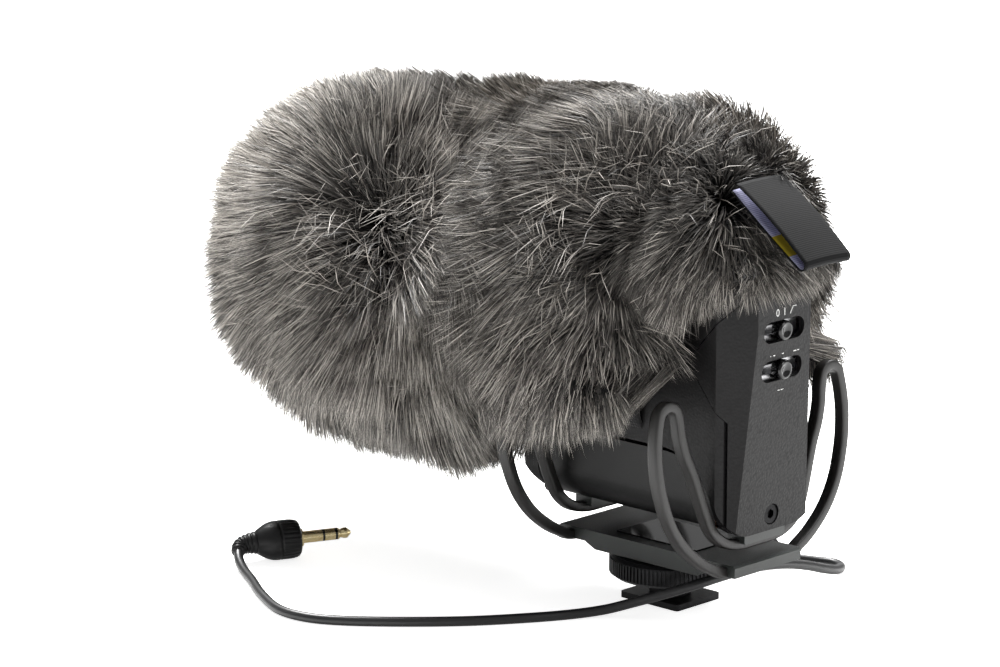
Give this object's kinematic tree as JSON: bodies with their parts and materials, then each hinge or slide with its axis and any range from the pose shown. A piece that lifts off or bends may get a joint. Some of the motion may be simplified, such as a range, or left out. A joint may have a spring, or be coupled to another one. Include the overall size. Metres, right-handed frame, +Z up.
{
  "type": "furry windscreen on a camera microphone",
  "caption": "Long-pile fur windscreen on a compact camera microphone, with sprung hoops, a shoe foot with locking wheel, slide switches and a captive lead with a jack plug.",
  "frame": {"origin": "centre of the foot's underside, at the mouth of its camera thread", "axes": "+Z up, nose and windscreen towards -X, switches towards +X"},
  "size_m": [0.2196, 0.1463, 0.135],
  "materials": {
    "fur": "matte",
    "knit": "matte",
    "webbing": "satin",
    "foam": "matte",
    "moulded": "satin",
    "textured": "matte",
    "hoop": "satin",
    "gloss": "gloss",
    "anodised": "satin",
    "steel": "satin",
    "blackened": "satin",
    "spring": "polished",
    "board": "satin",
    "can": "satin",
    "battery_can": "satin",
    "capsule_metal": "satin",
    "tube": "satin",
    "rubber": "matte",
    "gold": "polished",
    "insulator": "satin"
  },
  "bodies": {
    "microphone": {"foam_windshield": "foam", "interference_tube": "tube", "tube_nose": "tube", "capsule": "capsule_metal", "capsule_mount": "rubber", "upper_housing": "moulded", "rear_cover": "textured", "rear_screw": "blackened", "battery_housing": "moulded", "door_pin": "steel", "battery": "battery_can", "battery_terminals": "steel", "snap_connector": "insulator", "side_spring": "spring", "circuit_board": "board", "capacitors": "can", "power_switch_body": "steel", "level_switch_body": "steel", "front_hoop": "hoop", "rear_hoop": "hoop", "front_cradle": "moulded", "rear_cradle": "moulded", "base_bar": "hoop", "base_insert": "gloss", "base_screw": "steel", "shoe_foot": "anodised", "cord_gland": "rubber", "cord_lead": "rubber", "plug_boot": "rubber", "plug_body": "rubber", "jack_contacts": "gold", "jack_rings": "insulator"},
    "windscreen": {"fur_pile": "fur", "fur_backing": "knit", "elastic_hem": "knit", "label_tag": "webbing"},
    "power_slider": {"power_knob": "gloss"},
    "level_slider": {"level_knob": "gloss"},
    "door": {"battery_door": "moulded"},
    "clamp_washer": {"pressure_washer": "rubber"},
    "wheel": {"lock_wheel": "anodised"}
  },
  "joints": [
    {"name": "windscreen_pull", "type": "slide", "parent": "microphone", "child": "windscreen", "axis": [-1, 0, 0], "range_m": [0, 0.16]},
    {"name": "power_switch", "type": "slide", "parent": "microphone", "child": "power_slider", "axis": [0, 1, 0], "range_m": [-0.0045, 0.0045]},
    {"name": "level_switch", "type": "slide", "parent": "microphone", "child": "level_slider", "axis": [0, 1, 0], "range_m": [-0.0045, 0.0045]},
    {"name": "battery_door_hinge", "type": "hinge", "parent": "microphone", "child": "door", "pos_m": [-0.0345, 0, 0.029], "axis": [0, -1, 0], "range_deg": [0, 80]},
    {"name": "washer_travel", "type": "slide", "parent": "microphone", "child": "clamp_washer", "axis": [0, 0, -1], "range_m": [0, 0.0026]},
    {"name": "wheel_turn", "type": "hinge", "parent": "clamp_washer", "child": "wheel", "pos_m": [0, 0, 0.01], "axis": [0, 0, 1], "range_deg": [0, 720]}
  ],
  "couplings": [
    {"joint": "washer_travel", "follows": "wheel_turn", "m_per_rad": 0.0002069}
  ]
}
